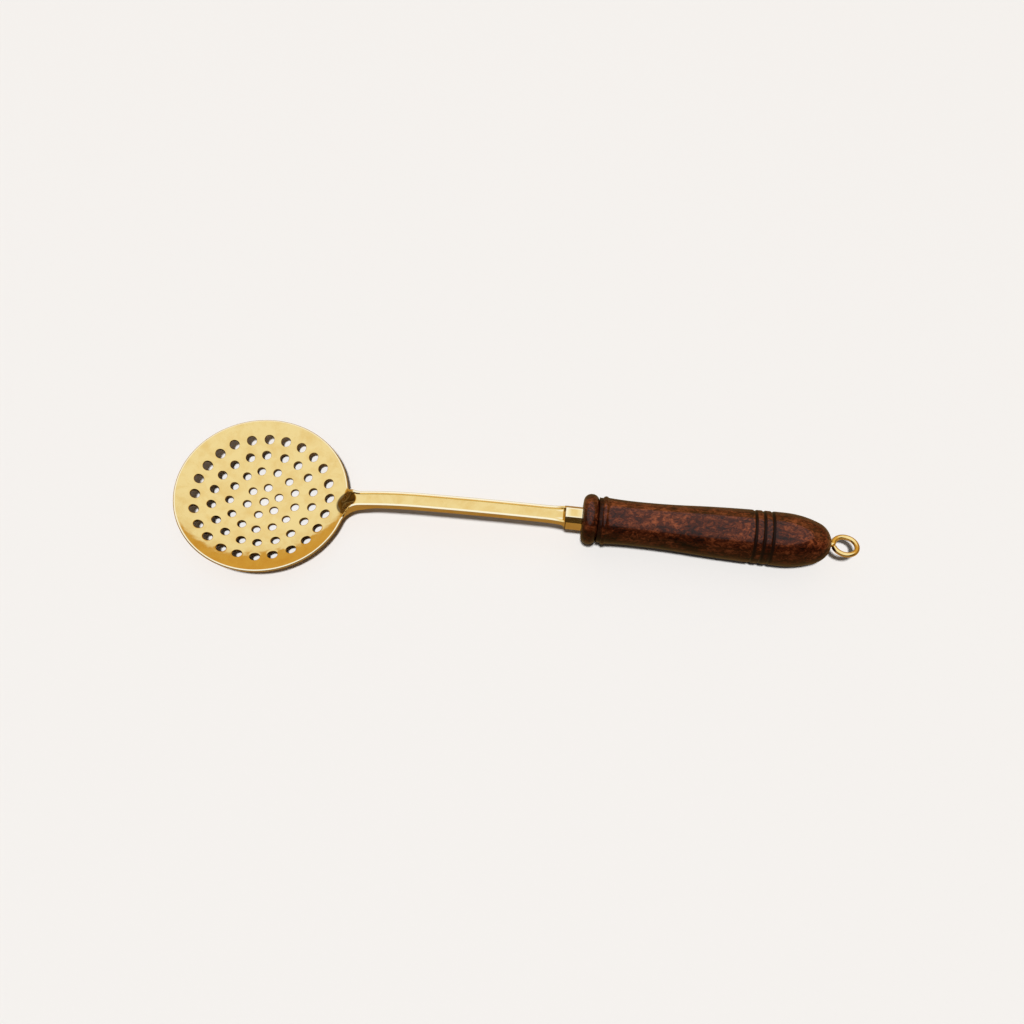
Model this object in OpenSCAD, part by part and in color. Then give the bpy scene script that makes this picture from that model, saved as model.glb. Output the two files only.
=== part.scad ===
// Perforated ladle, or skimmer: a shallow pierced brass dish cast in one with an arched,
// channelled shank and an eight-sided collar, a turned wooden handle on a hidden stud,
// and a bent-wire hanging eye. It lies as on a table, on the dish and the handle's swell.
// Millimetres. X runs from the dish to the handle, Z is up.

/* [Dish] */
// Diameter over the rim
rim_d = 95; // [80:1:130]
// Thickness of the rounded lip
lip_t = 1.9; // [1.6:0.1:4]
// Depth inside, from the top of the lip to the bottom of the dish
dish_depth = 9.6; // [6:0.2:16]
// Thickness of the dish's wall
dish_wall = 1.8; // [1:0.1:3]

/* [Strainer holes] */
// Distance between one ring of holes and the next
ring_step = 9.3; // [8.6:0.1:10]
// Radius of the innermost ring of holes
inner_ring_r = 8.9; // [8:0.1:9.6]
// Holes in the rings, from the inside out
ring_counts = [6, 13, 18, 24];
// Turn of each ring, in degrees from the shank
ring_turns = [22.8, -6.4, -3.8, 5.8];
// Drill for each ring
ring_drills = [4.7, 4.6, 4.9, 5.4];
// Drill for the centre hole
centre_drill = 5; // [3:0.1:6]

/* [Shank] */
// Width of the shank
shank_w = 8.8; // [7:0.1:12]
// Thickness of the shank
shank_t = 4; // [3:0.1:6]
// Height of the shank's top above the lip, where it leaves the dish
shank_rise = 6.85; // [6.2:0.05:7.4]
// Slope of the shank where it leaves the dish, in degrees
neck_slope = 17.6; // [16:0.1:19]
// Slope of the shank where the first bend runs into the second, in degrees
middle_slope = 5.2; // [3.4:0.1:8]
// Slope of the collar and the handle, in degrees
handle_slope = 2.4; // [0:0.1:3.2]
// Radius of the bend next to the dish
near_bend_r = 180; // [160:5:220]
// Radius of the long bend next to the collar
far_bend_r = 1376; // [1200:1:1900]
// Width of the raised edge on each side of the channel
edge_w = 1.2; // [0.8:0.1:1.8]
// Depth of the channel
channel_depth = 0.65; // [0.3:0.05:1.2]
// Radius of the fillets between the rim and the shank, seen from above
neck_fillet_r = 9; // [5:0.5:14]
// Radius of the throat that climbs from the dish to the channel, seen from the side
throat_r = 25; // [22:0.5:30]
// Distance from the rim in to where the throat starts
throat_reach = 4.5; // [4:0.1:6]
// Slope of the raised edges where they climb from the lip to the shank, in degrees
ramp_slope = 45; // [35:1:55]
// Distance from the rim in to the foot of that climb
ramp_reach = 1.9; // [1.2:0.1:2.6]

/* [Collar] */
// Width of the collar across its flats
collar_w = 10.3; // [9.6:0.1:13]
// Width of each cut corner, measured along the flats
collar_chamfer = 2.4; // [1.4:0.1:3.2]
// Length of the collar
collar_len = 11.5; // [8:0.5:18]
// Length of the stretch where the shank widens to the collar
flare_len = 9; // [6:0.5:14]
// Radius of the coves that meet the collar above and below
cove_r = 2.4; // [1.2:0.1:2.6]
// Height of the shank's top above the collar's axis
collar_drop = 2.5; // [1.8:0.1:2.9]

/* [Stud] */
// Diameter of the hidden stud
stud_d = 5; // [3:0.5:6]
// How far the stud reaches into the collar
stud_in_collar = 9; // [5:0.5:12]
// How far the stud reaches into the wood
stud_in_wood = 42; // [25:1:60]

/* [Handle] */
// Length of the wooden handle
handle_len = 133.2; // [120:0.1:150]
// Diameter of the bead at the front
bead_d = 27; // [24:0.5:32]
// Width of the bead
bead_w = 8.4; // [6:0.2:11]
// Radius of the bead's rounded edges
bead_round = 3.2; // [1.5:0.1:3.8]
// Width of the quirk behind the bead
quirk_w = 1.8; // [1:0.1:3]
// Depth of the quirk below the bead
quirk_depth = 1.5; // [0.8:0.1:2]
// Radius of the narrow ring behind the quirk
ring_round = 1.6; // [1:0.1:2.2]
// Diameter over the narrow ring
ring_d = 26; // [24:0.5:30]
// Diameter of the waist
waist_d = 23.7; // [20:0.1:24.6]
// Distance from the front face to the waist
waist_at = 28; // [22:1:34]
// Diameter of the swell
swell_d = 28.7; // [26:0.1:32]
// Distance from the tip back to the swell
swell_back = 26; // [20:1:32]
// Radius of the curve from the swell to the tip's dome
shoulder_r = 50; // [42:1:70]
// Radius of the curve from the swell towards the waist
flank_r = 800; // [600:10:950]
// Distance from the tip back to the middle one of three burnt lines
lines_back = 36; // [32:0.5:44]
// Distance between two burnt lines
lines_step = 4.6; // [3:0.1:6]
// Width of a burnt line
line_w = 1.3; // [0.6:0.1:2]

/* [Hanging eye] */
// Diameter of the brass wire
wire_d = 2.4; // [1.6:0.1:3]
// Inner diameter of the eye
eye_d = 10.6; // [9:0.1:16]
// Radius of the bend between the screw and the eye, at the middle of the wire
eye_bend_r = 2; // [1.8:0.1:3]
// Turn of the eye about the handle, in degrees
eye_turn = -15; // [-90:1:90]
// How far the screw reaches into the wood
screw_len = 16; // [8:1:24]
// Diameter of the screw's blunt point
screw_point_d = 0.6; // [0.2:0.1:1.2]

/* [Fits] */
// Clearance round the stud and the screw in their holes
bore_gap = 0.05; // [0.02:0.01:0.2]
// Space left at the blind end of a hole
end_gap = 0.5; // [0.2:0.1:1.5]
// Space between the wood's tip and the eye's bend
eye_gap = 0.3; // [0.2:0.1:0.6]

/* [Hidden] */

brass = [0.86, 0.68, 0.32];
steel = [0.62, 0.63, 0.65];
varnished_wood = [0.36, 0.16, 0.09];

// More than any size here, for cuts that run right through
far = 400;
// Where two lengths of a casting or a wire join, one is this much fatter all round and the
// other starts this far inside it, so that they share a clear volume.
step = 0.06;
lap = 0.4;
smooth = 96;
fine = 48;

// The dish lies between two spheres with one centre, on the dish's axis.
rim_r = rim_d / 2;
lip_r = lip_t / 2;
mouth_r = rim_r - lip_r;
inner_r = (mouth_r * mouth_r + dish_depth * dish_depth) / (2 * dish_depth);
outer_r = inner_r + dish_wall;
sphere_z = inner_r - dish_depth;

// The shank's top follows two arcs that share a tangent. Their centres are below it.
function on_arc(centre, r, slope) = centre + r * [-sin(slope), cos(slope)];
shank_start = [rim_r + 2.5, shank_rise];
near_centre = shank_start - near_bend_r * [-sin(neck_slope), cos(neck_slope)];
shank_middle = on_arc(near_centre, near_bend_r, middle_slope);
far_centre = shank_middle - far_bend_r * [-sin(middle_slope), cos(middle_slope)];
shank_end = on_arc(far_centre, far_bend_r, handle_slope);

// The handle's frame starts on its axis, at the wood's front face.
along = [cos(handle_slope), sin(handle_slope)];
upward = [-sin(handle_slope), cos(handle_slope)];
wood_front = shank_end + (flare_len + collar_len) * along - collar_drop * upward;

// The raised edges climb from the lip along a plane.
ramp_foot = [rim_r - ramp_reach, 0];

// The long length of the shank starts this many degrees inside the first one.
lap_turn = lap / far_bend_r * 180 / PI;

// The throat's circle, seen from the side, is level with the dish's inner sphere where it
// starts, and runs just above it there.
throat_start = rim_r - throat_reach;
throat_tilt = asin(throat_start / inner_r);
throat_lift = 0.2;
throat_centre = [0, sphere_z] + (inner_r - throat_r - throat_lift) * [sin(throat_tilt), -cos(throat_tilt)];

// Well below the lip and the dish's wall beside it
under_lip = 20;

// Turned profile of the handle: pairs of a distance from the front face and a radius.
bead_r = bead_d / 2;
quirk_r = bead_r - quirk_depth;
ring_at = bead_w + quirk_w + ring_round;
ring_centre_r = ring_d / 2 - ring_round;
waist_r = waist_d / 2;
swell_r = swell_d / 2;
swell_at = handle_len - swell_back;
// The two curves between the waist and the swell share a tangent.
curves_r = ((swell_at - waist_at) ^ 2 + (swell_r - waist_r) ^ 2) / (2 * (swell_r - waist_r));
waist_curve_r = curves_r - flank_r;
curves_meet = waist_at + (swell_at - waist_at) * waist_curve_r / curves_r;
// The curve from the narrow ring falls to the waist and is level there.
fall_from = [ring_at + ring_round * 0.8, ring_centre_r + ring_round * 0.6];
fall_r = ((waist_at - fall_from[0]) ^ 2 + (fall_from[1] - waist_r) ^ 2) / (2 * (fall_from[1] - waist_r));
// The dome at the tip is part of a sphere that the shoulder's curve runs into.
dome_r = (shoulder_r ^ 2 - swell_back ^ 2 - (shoulder_r - swell_r) ^ 2) / (2 * (shoulder_r - swell_back));
dome_at = handle_len - dome_r;
shoulder_turn = asin((dome_at - swell_at) / (shoulder_r - dome_r));

function arc(centre, r, from, to, steps) =
    [for (i = [0 : steps]) let (a = from + (to - from) * i / steps) centre + r * [cos(a), sin(a)]];

function flank_at(x) = swell_r - flank_r + sqrt(flank_r ^ 2 - (x - swell_at) ^ 2);

handle_profile = concat(
    [[0, 0]],
    arc([bead_round, bead_r - bead_round], bead_round, 180, 90, 10),
    arc([bead_w - bead_round, bead_r - bead_round], bead_round, 90, 0, 10),
    [[bead_w, quirk_r], [bead_w + quirk_w, quirk_r]],
    arc([ring_at, ring_centre_r], ring_round, 180, 37, 10),
    [for (i = [1 : 9]) let (x = fall_from[0] + (waist_at - fall_from[0]) * i / 9)
        [x, waist_r + fall_r - sqrt(fall_r ^ 2 - (waist_at - x) ^ 2)]],
    [for (i = [1 : 8]) let (x = waist_at + (curves_meet - waist_at) * i / 8)
        [x, waist_r + waist_curve_r - sqrt(waist_curve_r ^ 2 - (x - waist_at) ^ 2)]],
    [for (i = [1 : 10]) let (x = curves_meet + (swell_at - curves_meet) * i / 10) [x, flank_at(x)]],
    [for (i = [1 : 6]) let (a = shoulder_turn * i / 6)
        [swell_at, swell_r - shoulder_r] + shoulder_r * [sin(a), cos(a)]],
    [for (i = [1 : 10]) let (a = shoulder_turn + (90 - shoulder_turn) * i / 10)
        [dome_at, 0] + dome_r * [sin(a), cos(a)]]
);

// The eye: its screw lies on the handle's axis and bends into the ring.
wire_r = wire_d / 2;
screw_r = wire_r + 2 * step;
eye_r = eye_d / 2 + wire_r;
eye_centre_at = sqrt(eye_r ^ 2 + 2 * eye_r * eye_bend_r);
bend_turn = asin(eye_bend_r / (eye_r + eye_bend_r));
// The wire's end stops short of the screw by the same gap as the wood.
eye_end_turn = asin((wire_d + eye_gap) / eye_r);
eye_centre_x = handle_len + eye_gap + eye_centre_at;

// At rest the ladle touches the table with the dish's outer sphere and the handle's shoulder.
swell_spot = wood_front + swell_at * along + (shoulder_r - swell_r) * upward;
rest_run = [swell_spot[0], sphere_z - swell_spot[1]];
rest_tilt = atan2(rest_run[0], rest_run[1]) - acos((outer_r - shoulder_r) / norm(rest_run));
lift = outer_r - sphere_z * cos(rest_tilt);
eye_spot = wood_front + eye_centre_x * along;
front_x = -mouth_r * cos(rest_tilt) - lip_r * sin(rest_tilt) - lip_r;
back_x = eye_spot[0] * cos(rest_tilt) + eye_spot[1] * sin(rest_tilt) + eye_r + wire_r;
middle_x = (front_x + back_x) / 2;

// Turns the ladle from the dish's own frame, level with its lip, to how it lies on a table.
module at_rest() {
    translate([-middle_x, 0, lift]) rotate([0, rest_tilt, 0]) children();
}

// Places a shape along the handle's axis: its X runs from the wood's front face to the tip.
module on_handle_axis() {
    translate([wood_front[0], 0, wood_front[1]]) rotate([0, -handle_slope, 0]) children();
}

// Turns a profile drawn as radius and distance about the handle's axis.
module turned(facets = smooth) {
    rotate([0, 90, 0]) rotate_extrude($fn = facets) children();
}

// Extrudes a side view, drawn in X and Z, across the ladle.
module across(width) {
    rotate([90, 0, 0]) linear_extrude(width, center = true) children();
}

// A cylinder that lies across the ladle.
module roller(centre, r, width) {
    translate([centre[0], 0, centre[1]]) rotate([90, 0, 0]) cylinder(r = r, h = width, center = true, $fn = smooth);
}

module dish() {
    difference() {
        intersection() {
            translate([0, 0, sphere_z]) sphere(r = outer_r, $fn = smooth);
            translate([0, 0, -lip_r - far]) cylinder(r = rim_r, h = far, $fn = smooth);
        }
        translate([0, 0, sphere_z]) sphere(r = inner_r, $fn = smooth);
    }
    translate([0, 0, -lip_r]) rotate_extrude($fn = smooth) translate([mouth_r, 0]) circle(r = lip_r, $fn = fine);
}

// One hole, drilled square to the dish's wall.
module strainer_hole(ring_r, turn, drill) {
    lean = asin(ring_r / inner_r);
    translate([0, 0, sphere_z]) rotate([0, 0, turn]) rotate([0, 180 - lean, 0])
        translate([0, 0, inner_r - 2]) cylinder(d = drill, h = dish_wall + 4, $fn = fine);
}

module strainer_holes() {
    strainer_hole(0, 0, centre_drill);
    for (ring = [0 : len(ring_counts) - 1])
        for (i = [0 : ring_counts[ring] - 1])
            strainer_hole(inner_ring_r + ring * ring_step, ring_turns[ring] + i * 360 / ring_counts[ring], ring_drills[ring]);
}

// Section of the shank's long length: across it in Y, and up to its raised edges. It grows
// out of the shank's first length, a little slimmer all round.
module shank_section() {
    half = shank_w / 2 - step;
    floor_half = shank_w / 2 - edge_w - channel_depth + step;
    floor = -channel_depth - step;
    polygon([
        [step - shank_t, -half], [-step, -half], [-step, -floor_half - channel_depth], [floor, -floor_half],
        [floor, floor_half], [-step, floor_half + channel_depth], [-step, half], [step - shank_t, half]
    ]);
}

// Section of the tool that cuts the same channel, or one that is a little deeper and wider.
module channel_section(more = 0) {
    floor_half = shank_w / 2 - edge_w - channel_depth + more;
    depth = channel_depth + more;
    polygon([
        [-depth, -floor_half], [1, -floor_half - depth - 1], [1, floor_half + depth + 1], [-depth, floor_half]
    ]);
}

// Turns a section, drawn up from the shank's top in X and across it in Y, along one of its bends.
module bent(centre, r, steep, gentle) {
    translate([centre[0], 0, centre[1]]) rotate([90, 0, 0]) rotate([0, 0, 90 + gentle])
        rotate_extrude(angle = steep - gentle, $fn = 720) translate([r, 0]) children();
}

// Plan of the shank's first length, with its edges moved in: it leaves the rim with a fillet on each side.
module neck_plan(inset) {
    fillet = neck_fillet_r + inset;
    centre_y = shank_w / 2 + neck_fillet_r;
    leave_r = rim_r - lip_r / 3;
    centre_x = sqrt((leave_r + neck_fillet_r) ^ 2 - centre_y ^ 2);
    touch_y = centre_y * (leave_r - inset) / (leave_r + neck_fillet_r);
    difference() {
        translate([throat_start - inset, -touch_y]) square([centre_x - throat_start + inset, 2 * touch_y]);
        for (side = [-1, 1]) translate([centre_x, side * centre_y]) circle(r = fillet, $fn = smooth);
    }
    translate([centre_x - lap, -centre_y + fillet])
        square([shank_middle[0] + 1 - centre_x + lap, 2 * (centre_y - fillet)]);
}

// All that lies above the plane of the raised edges' climb.
module above_ramp() {
    up = far * [cos(ramp_slope), sin(ramp_slope)];
    across(far) polygon([ramp_foot - up, ramp_foot + up, ramp_foot + up + [-far, 0], ramp_foot - up + [-far, 0]]);
}

// The hollow of the throat. It runs over the lip between the neck's two edges.
module throat() {
    intersection() {
        translate([0, 0, -under_lip]) linear_extrude(far) neck_plan(edge_w);
        roller(throat_centre, throat_r, far);
    }
}

// The shank's first length. Its underside runs into the dish's outer sphere.
module near_shank() {
    difference() {
        intersection() {
            translate([0, 0, -under_lip]) linear_extrude(far) neck_plan(0);
            roller(near_centre, near_bend_r, far);
        }
        difference() {
            roller(near_centre, near_bend_r - shank_t, far);
            translate([0, 0, sphere_z]) sphere(r = outer_r, $fn = smooth);
        }
        above_ramp();
        throat();
        bent(near_centre, near_bend_r, neck_slope + 4, middle_slope - 1) channel_section();
        translate([shank_middle[0], 0, shank_middle[1]]) rotate([0, -middle_slope, 0])
            translate([0, -far / 2, -far / 2]) cube(far);
    }
}

// Side view of the collar and the widening shank in front of it, in the handle's frame.
module collar_side() {
    half = collar_w / 2;
    cove_bottom = collar_drop - channel_depth;
    shank_under = collar_drop - shank_t;
    difference() {
        union() {
            translate([-collar_len, -half]) square([collar_len, collar_w]);
            translate([-collar_len - flare_len - lap, shank_under - step])
                square([flare_len + 2 * lap, shank_t + 2 * step]);
            translate([-collar_len - cove_r, -half]) square([cove_r + lap, collar_w]);
        }
        translate([-collar_len - cove_r, cove_bottom + cove_r]) circle(r = cove_r, $fn = fine);
        translate([-collar_len - 2 * cove_r, cove_bottom + cove_r]) square([2 * cove_r, far]);
        translate([-collar_len - cove_r, shank_under - step - cove_r]) circle(r = cove_r, $fn = fine);
        translate([-collar_len - 2 * cove_r, shank_under - step - cove_r - far]) square([2 * cove_r, far]);
    }
}

// Plan of the same stretch: the shank's sides curve out to the collar's.
module collar_plan() {
    widening = (collar_w - shank_w) / 2 - step;
    flare_r = (flare_len ^ 2 + widening ^ 2) / (2 * widening);
    difference() {
        translate([-collar_len - flare_len - lap, -collar_w / 2]) square([collar_len + flare_len + lap, collar_w]);
        for (side = [-1, 1])
            translate([-collar_len - flare_len, side * (collar_w / 2 - widening + flare_r)])
                circle(r = flare_r, $fn = 360);
    }
}

module collar() {
    corner = collar_w / 2 + collar_w / 2 - collar_chamfer;
    on_handle_axis() intersection() {
        across(far) collar_side();
        translate([0, 0, -far / 2]) linear_extrude(far) collar_plan();
        rotate([45, 0, 0]) cube([far, corner * sqrt(2), corner * sqrt(2)], center = true);
    }
}

// The channel's last stretch, up to the cove in front of the collar.
module channel_end() {
    on_handle_axis() translate([-collar_len - flare_len - 2 * lap, 0, collar_drop])
        rotate([90, 0, 90]) linear_extrude(flare_len - cove_r + 2 * lap) rotate([0, 0, 90]) channel_section(2 * step);
}

module ladle_head() {
    color(brass) at_rest() difference() {
        union() {
            dish();
            near_shank();
            bent(far_centre, far_bend_r, middle_slope + lap_turn, handle_slope) shank_section();
            collar();
        }
        strainer_holes();
        channel_end();
        on_handle_axis() rotate([0, -90, 0])
            translate([0, 0, -1]) cylinder(d = stud_d + 2 * bore_gap, h = stud_in_collar + end_gap + 1, $fn = fine);
    }
}

module tang_stud() {
    chamfer = 0.6;
    color(steel) at_rest() on_handle_axis() translate([-stud_in_collar, 0, 0]) rotate([0, 90, 0]) {
        cylinder(d1 = stud_d - 2 * chamfer, d2 = stud_d, h = chamfer, $fn = fine);
        translate([0, 0, chamfer]) cylinder(d = stud_d, h = stud_in_collar + stud_in_wood - 2 * chamfer, $fn = fine);
        translate([0, 0, stud_in_collar + stud_in_wood - chamfer])
            cylinder(d1 = stud_d, d2 = stud_d - 2 * chamfer, h = chamfer, $fn = fine);
    }
}

module handle() {
    color(varnished_wood) at_rest() on_handle_axis() difference() {
        turned() polygon([for (p = handle_profile) [p[1], p[0]]]);
        for (i = [-1 : 1]) {
            x = handle_len - lines_back + i * lines_step;
            turned() translate([flank_at(x), x]) circle(d = line_w, $fn = fine);
        }
        rotate([0, 90, 0]) translate([0, 0, -1])
            cylinder(d = stud_d + 2 * bore_gap, h = stud_in_wood + end_gap + 1, $fn = fine);
        translate([handle_len + 1, 0, 0]) rotate([0, -90, 0])
            cylinder(r = screw_r + bore_gap, h = screw_len + end_gap + 1, $fn = fine);
    }
}

// The eye is drawn flat, with its screw along X, then turned about the handle's axis.
module hanging_eye() {
    ring_lap = lap / eye_r * 180 / PI;
    color(brass) at_rest() on_handle_axis() translate([eye_centre_x, 0, 0]) rotate([eye_turn, 0, 0]) {
        rotate([0, 0, 180 + eye_end_turn])
            rotate_extrude(angle = 360 - eye_end_turn - bend_turn + ring_lap, $fn = smooth)
                translate([eye_r, 0]) circle(r = wire_r, $fn = fine);
        translate([-eye_centre_at, eye_bend_r, 0]) rotate([0, 0, -90])
            rotate_extrude(angle = 90 - bend_turn, $fn = smooth)
                translate([eye_bend_r, 0]) circle(r = wire_r + step, $fn = fine);
        translate([lap - eye_centre_at, 0, 0]) rotate([0, -90, 0]) rotate_extrude($fn = fine)
            polygon([
                [0, 0], [screw_r, 0], [screw_r, lap + screw_len - screw_r],
                [screw_point_d / 2, lap + screw_len], [0, lap + screw_len]
            ]);
    }
}

ladle_head();
tang_stud();
handle();
hanging_eye();
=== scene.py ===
"""The perforated ladle's finish: polished cast brass, varnished wood and a wire eye, on a pale floor.

The casting, the turned wood and the bent wire are drawn in millimetres, each in place of its CAD node.
The stud keeps its CAD mesh, inside.
"""

import math
import random

import bmesh
import bpy
from mathutils import Matrix, Vector


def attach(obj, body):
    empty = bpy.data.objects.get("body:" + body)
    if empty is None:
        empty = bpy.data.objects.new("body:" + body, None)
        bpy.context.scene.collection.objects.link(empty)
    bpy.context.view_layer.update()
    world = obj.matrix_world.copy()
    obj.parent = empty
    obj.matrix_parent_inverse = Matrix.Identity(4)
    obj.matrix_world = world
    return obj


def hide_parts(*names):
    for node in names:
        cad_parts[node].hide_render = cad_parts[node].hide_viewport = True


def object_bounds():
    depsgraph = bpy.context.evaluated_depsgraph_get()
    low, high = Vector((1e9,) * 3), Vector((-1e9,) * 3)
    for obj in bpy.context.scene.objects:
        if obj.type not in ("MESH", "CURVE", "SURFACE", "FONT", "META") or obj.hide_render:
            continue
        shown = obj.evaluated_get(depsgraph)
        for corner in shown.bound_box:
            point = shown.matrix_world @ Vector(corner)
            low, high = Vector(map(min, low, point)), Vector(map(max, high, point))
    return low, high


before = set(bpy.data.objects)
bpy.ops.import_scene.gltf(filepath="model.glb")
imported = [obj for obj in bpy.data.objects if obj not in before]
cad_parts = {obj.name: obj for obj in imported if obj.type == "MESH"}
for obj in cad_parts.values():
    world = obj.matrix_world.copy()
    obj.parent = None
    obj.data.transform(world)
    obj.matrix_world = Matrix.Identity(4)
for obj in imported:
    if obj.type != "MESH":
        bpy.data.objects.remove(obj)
cad_low, cad_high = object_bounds()

MM = 0.001

# Sizes of the ladle, in millimetres. They are as in the part's source, apart from the channel, the throat,
# the collar's length, the bead's rounding, the burnt lines and the eye, which follow the photograph.
RIM_R = 47.5
LIP_R = 0.95
DISH_DEPTH = 9.6
DISH_WALL = 1.8
# Strainer rings from the inside out: radius, number of holes, turn in degrees, drill
RINGS = ((8.9, 6, 22.8, 4.7), (18.2, 13, -6.4, 4.6), (27.5, 18, -3.8, 4.9), (36.8, 24, 5.8, 5.4))
CENTRE_DRILL = 5.0
SHANK_W = 8.8
SHANK_T = 4.0
SHANK_START = Vector((50, 0, 6.85))
RIM_ROUND = 0.93
SHANK_ROUND = 0.35
NECK_SLOPE = math.radians(17.6)
MIDDLE_SLOPE = math.radians(5.2)
HANDLE_SLOPE = math.radians(2.4)
NEAR_BEND_R = 180.0
FAR_BEND_R = 1376.0
EDGE_W = 1.2
CHANNEL_DEPTH = 0.9
CHANNEL_WALL_SLOPE = 2.2
NECK_FILLET_R = 9.0
THROAT_START = 43.0
THROAT_FOOT = 43.3
THROAT_CLIMB = 0.86
# How fast the throat's ends close in towards its sides, and where that stops
THROAT_BOW = 0.08
THROAT_BOW_W = 4.5
# The painted dark reflection in the throat: a circle about a point on the ladle's middle line
PATCH_AT = 49.1
PATCH_R = 7.4
# How far from its middle the dish has a part in the top, and in the underside
DISH_REACH = 62
SPHERE_REACH = 90
# A height that leaves the other surface as it is
NO_SURFACE = 100
COLLAR_W = 10.3
COLLAR_CHAMFER = 2.4
COLLAR_LEN = 9.2
FLARE_LEN = 11.3
COVE_R = 2.4
COLLAR_DROP = 2.5
COLLAR_STEP = 0.25
# Rounding of the collar's long edges, of its near end and of its far end
FACET_ROUND = 0.12
NEAR_ROUND = 0.25
FAR_ROUND = 0.2
STUD_BORE_R = 2.55
STUD_IN_COLLAR = 9.5
STUD_IN_WOOD = 42.5
HANDLE_LEN = 133.2
BEAD_R = 13.5
BEAD_W = 8.4
BEAD_ROUND = 4.1
QUIRK_W = 1.8
QUIRK_DEPTH = 1.5
NARROW_RING_R = 13.0
NARROW_RING_ROUND = 1.6
WAIST_R = 11.85
WAIST_AT = 28.0
SWELL_R = 14.35
SWELL_BACK = 26.0
SHOULDER_R = 50.0
FLANK_R = 800.0
LINES_BACK = 37.5
LINES_STEP = 4.6
LINE_W = 1.9
LINE_DEPTH = 0.5
WOOD_CHAMFER = 0.3
SCREW_BORE_R = 1.37
WIRE_R = 1.4
SCREW_R = 1.3
EYE_R = 6.3
EYE_BEND_R = 1.45
EYE_TURN = math.radians(-15)
EYE_GAP = 0.1
EYE_END_TURN = math.radians(16)
SCREW_LEN = 16.0
SCREW_BORE_SPARE = 0.5

# The dish's own frame: its origin is the rim's centre, X runs to the handle and Z is up.
MOUTH_R = RIM_R - LIP_R
INNER_R = (MOUTH_R ** 2 + DISH_DEPTH ** 2) / (2 * DISH_DEPTH)
OUTER_R = INNER_R + DISH_WALL
SPHERE_Z = INNER_R - DISH_DEPTH

# How the dish's frame lies in the row's frame
REST_TILT = math.radians(3.8595)
LIFT = OUTER_R - SPHERE_Z * math.cos(REST_TILT)
DISH_X = cad_low.x / MM + MOUTH_R * math.cos(REST_TILT) + LIP_R * math.sin(REST_TILT) + LIP_R
AT_REST = Matrix.Translation((DISH_X, 0, LIFT)) @ Matrix.Rotation(REST_TILT, 4, "Y")
TO_ROW = Matrix.Scale(MM, 4) @ AT_REST


def up_slope(slope):
    """The direction square to a slope, in side view."""
    return Vector((-math.sin(slope), 0, math.cos(slope)))


# The shank's top: two arcs that share a tangent, with their centres below it
NEAR_CENTRE = SHANK_START - NEAR_BEND_R * up_slope(NECK_SLOPE)
SHANK_MIDDLE = NEAR_CENTRE + NEAR_BEND_R * up_slope(MIDDLE_SLOPE)
FAR_CENTRE = SHANK_MIDDLE - FAR_BEND_R * up_slope(MIDDLE_SLOPE)
SHANK_END = FAR_CENTRE + FAR_BEND_R * up_slope(HANDLE_SLOPE)
WOOD_FRONT = (
    SHANK_END
    + (FLARE_LEN + COLLAR_LEN) * Vector((math.cos(HANDLE_SLOPE), 0, math.sin(HANDLE_SLOPE)))
    - COLLAR_DROP * up_slope(HANDLE_SLOPE)
)
HANDLE_FRAME = Matrix.Translation(WOOD_FRONT) @ Matrix.Rotation(-HANDLE_SLOPE, 4, "Y")
LINE_PLACES = [HANDLE_LEN - LINES_BACK + i * LINES_STEP for i in (-1, 0, 1)]

# The rows of cells round the holes: half a row's width, the middle cell, and the rim sheet's inner end
CELL_HALF = 4.35
CENTRE_CELL_R = 4.1
SPINE_R = 41.7
# Hand drilling: how far holes wander, how much their radius varies, their rounded edge, and where the
# centre hole has strayed to
HOLE_WANDER = 0.4
DRILL_SPREAD = 0.06
HOLE_EDGE = 0.34
CENTRE_STRAY = (0.55, -0.3)
# Points nearer than this are one, where sheets, cells and the two halves meet
SHEET_WELD = 0.0015
CELL_WELD = 0.002
FINE_WELD = 0.001

# How finely the pieces are drawn
RIM_STEPS = 96
NECK_STEPS = 22
FILLET_STEPS = 30
HOLE_SIDES = 32
CENTRE_SIDES = 48
WOOD_SIDES = 160
WIRE_SIDES = 28
WIRE_STEPS = 90

# Colours of the surfaces, and of the room that the metal shows
BRASS = (0.87, 0.68, 0.3)
DEEP_BRASS = (0.8, 0.57, 0.21)
WIRE_BRASS = (0.95, 0.74, 0.33)
DEEP_WIRE_BRASS = (0.8, 0.55, 0.2)
# Painted highlight: paler brass laid along the edges of the rim, the shank and the collar
HIGHLIGHT_BRASS = (1, 0.92, 0.68)
# Near black brass: tarnish, and painted shade, in the drilled holes and on the dish's underside, and a
# painted dark reflection in the throat
TARNISH_AND_SHADE = (0.1, 0.055, 0.02)
STEEL = (0.62, 0.63, 0.65)
# Colour of the burnt lines, and of the painted shade in the quirk
BURNT_AND_QUIRK_SHADE = (0.008, 0.003, 0.002)
WOOD_FIGURE = ((0.4, (0.01, 0.003, 0.002)), (0.5, (0.055, 0.01, 0.003)), (0.62, (0.21, 0.052, 0.017)))
FLOOR = (0.8, 0.78, 0.76)
# Painted shade: the floor as the metal and the wood see it, darker and warmer than it is to the camera
FLOOR_IN_METAL_PAINTED_SHADE = (0.34, 0.21, 0.075)
BACKDROP = (7, 6.8, 6.55)
ROOM_BACK = (
    (0.04, (0.2, 0.12, 0.04)), (0.16, (0.5, 0.3, 0.08)), (0.3, (0.72, 0.46, 0.13)),
    (0.5, (0.68, 0.44, 0.13)), (0.525, (0.96, 0.95, 0.92)), (0.7, (1, 1, 1)),
)
ROOM_FRONT = (
    (0.1, (0.05, 0.03, 0.012)), (0.52, (0.07, 0.045, 0.02)),
    (0.58, (0.9, 0.88, 0.84)), (0.7, (1, 1, 1)),
)
# How strongly the room lights what isn't glossy, and how much lower its bands lie at the right
ROOM_LEVEL = 0.13
ROOM_LEAN = -0.25
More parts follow.
